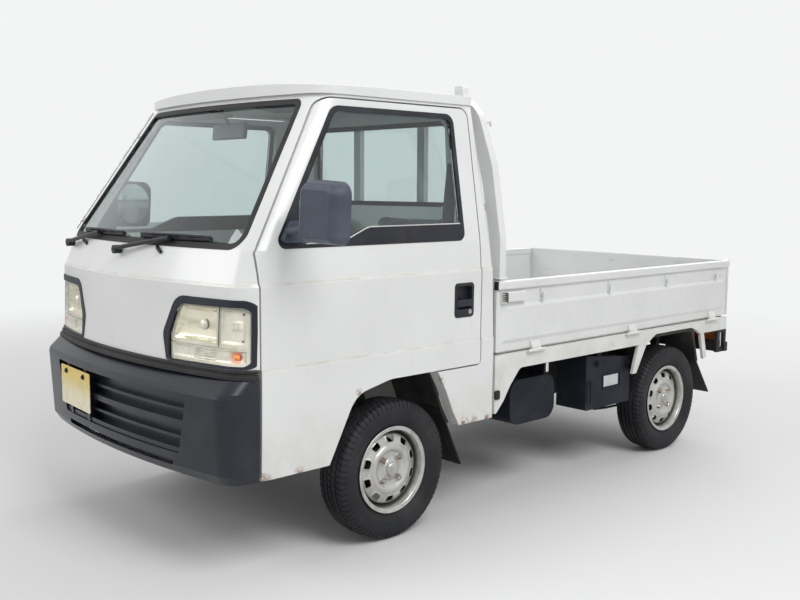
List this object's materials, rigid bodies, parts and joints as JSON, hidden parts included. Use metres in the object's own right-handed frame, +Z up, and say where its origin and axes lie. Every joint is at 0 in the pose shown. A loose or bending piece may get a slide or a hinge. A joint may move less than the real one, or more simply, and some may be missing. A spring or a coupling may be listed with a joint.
{
  "type": "kei truck",
  "caption": "Small cab-over flat-bed truck: hollow cab, opening doors, drop-side bed with drop tailgate, guard frame, steered and spinning wheels.",
  "frame": {"origin": "on the ground, on the truck's centre plane, midway between the bumper's front and the tailgate's rear", "axes": "faces -Y, +X is the truck's left side, +Z is up"},
  "size_m": [1.807, 3.2995, 1.7569],
  "materials": {
    "body_paint": "white enamel, semi-gloss, with light road dirt",
    "bed_paint": "white enamel, scuffed",
    "frame_black": "black chassis paint, dusty",
    "window_glass": "lightly green tinted, clear",
    "lamp_glass": "clear fluted glass",
    "silver_bezel": "satin silver grey",
    "tail_lens": "red and amber lens",
    "bumper_plastic": "dark blue-grey, fine grain",
    "black_plastic": "black, satin",
    "grey_plastic": "dark grey, fine grain",
    "black_rubber": "matte black",
    "tyre_rubber": "matte black, dusty",
    "wheel_silver": "silver wheel enamel, satin",
    "bright_rod": "bright steel",
    "plate_cream": "blank, cream, satin",
    "seat_vinyl": "dark grey vinyl, matte",
    "engine_iron": "oily, dull",
    "exhaust_steel": "dull, heat stained"
  },
  "bodies": {
    "chassis": {"antenna": "bright_rod", "bed_floor": "bed_paint", "bed_skirts": "body_paint", "cab_back_wall": "body_paint", "cab_fittings": "grey_plastic", "cab_floor": "body_paint", "cab_front_panel": "body_paint", "cab_glass": "window_glass", "cab_roof": "body_paint", "cab_sides": "body_paint", "chassis_frame": "frame_black", "dashboard": "grey_plastic", "engine_block": "engine_iron", "exhaust": "exhaust_steel", "front_bumper": "bumper_plastic", "front_struts": "frame_black", "guard_frame": "body_paint", "headlamp_frames": "silver_bezel", "headlamp_lenses": "lamp_glass", "mud_flaps": "black_rubber", "number_plate": "plate_cream", "rear_axle": "frame_black", "rear_bar": "frame_black", "seats": "seat_vinyl", "steering_column": "black_plastic", "tail_lamps": "tail_lens", "tanks": "black_plastic", "wheel_houses": "frame_black", "window_seals": "black_rubber", "windscreen_frame": "body_paint", "wipers": "black_plastic"},
    "door_left": {"door_left": "body_paint", "door_glass_left": "window_glass", "door_trim_left": "black_plastic", "mirror_left": "black_plastic"},
    "gate_left": {"gate_left": "bed_paint"},
    "door_right": {"door_right": "body_paint", "door_glass_right": "window_glass", "door_trim_right": "black_plastic", "mirror_right": "black_plastic"},
    "gate_right": {"gate_right": "bed_paint"},
    "tailgate": {"tailgate": "bed_paint"},
    "knuckle_left": {"knuckle_left": "frame_black"},
    "knuckle_right": {"knuckle_right": "frame_black"},
    "wheel_front_left": {"tyre_front_left": "tyre_rubber", "rim_front_left": "wheel_silver"},
    "wheel_front_right": {"tyre_front_right": "tyre_rubber", "rim_front_right": "wheel_silver"},
    "wheel_rear_left": {"tyre_rear_left": "tyre_rubber", "rim_rear_left": "wheel_silver"},
    "wheel_rear_right": {"tyre_rear_right": "tyre_rubber", "rim_rear_right": "wheel_silver"},
    "steering_wheel": {"steering_wheel": "black_plastic"}
  },
  "joints": [
    {"name": "steer_left", "type": "hinge", "parent": "chassis", "child": "knuckle_left", "pos_m": [0.56, -0.825, 0.195], "axis": [-0.2604, 0, 0.9655], "range_deg": [-33, 33]},
    {"name": "steer_right", "type": "hinge", "parent": "chassis", "child": "knuckle_right", "pos_m": [-0.56, -0.825, 0.195], "axis": [0.2604, 0, 0.9655], "range_deg": [-33, 33]},
    {"name": "steering_wheel_turn", "type": "hinge", "parent": "chassis", "child": "steering_wheel", "pos_m": [-0.33, -1.115, 1.015], "axis": [0, 0.5, 0.866], "range_deg": [-530, 530]},
    {"name": "spin_front_left", "type": "hinge", "parent": "knuckle_left", "child": "wheel_front_left", "pos_m": [0.61, -0.825, 0.268], "axis": [1, 0, 0], "continuous": true},
    {"name": "spin_front_right", "type": "hinge", "parent": "knuckle_right", "child": "wheel_front_right", "pos_m": [-0.61, -0.825, 0.268], "axis": [1, 0, 0], "continuous": true},
    {"name": "spin_rear_left", "type": "hinge", "parent": "chassis", "child": "wheel_rear_left", "pos_m": [0.61, 1.075, 0.268], "axis": [1, 0, 0], "continuous": true},
    {"name": "spin_rear_right", "type": "hinge", "parent": "chassis", "child": "wheel_rear_right", "pos_m": [-0.61, 1.075, 0.268], "axis": [1, 0, 0], "continuous": true},
    {"name": "door_left_hinge", "type": "hinge", "parent": "chassis", "child": "door_left", "pos_m": [0.6955, -1.437, 0.9], "axis": [0, 0, -1], "range_deg": [0, 65]},
    {"name": "door_right_hinge", "type": "hinge", "parent": "chassis", "child": "door_right", "pos_m": [-0.6955, -1.437, 0.9], "axis": [0, 0, 1], "range_deg": [0, 65]},
    {"name": "gate_left_drop", "type": "hinge", "parent": "chassis", "child": "gate_left", "pos_m": [0.704, 0.709, 0.646], "axis": [0, 1, 0], "range_deg": [0, 174]},
    {"name": "gate_right_drop", "type": "hinge", "parent": "chassis", "child": "gate_right", "pos_m": [-0.704, 0.709, 0.646], "axis": [0, -1, 0], "range_deg": [0, 174]},
    {"name": "tailgate_drop", "type": "hinge", "parent": "chassis", "child": "tailgate", "pos_m": [0, 1.6405, 0.646], "axis": [-1, 0, 0], "range_deg": [0, 174]}
  ],
  "couplings": [
    {"joint": "steer_right", "follows": "steer_left", "ratio": 1},
    {"joint": "steering_wheel_turn", "follows": "steer_left", "ratio": 16}
  ]
}
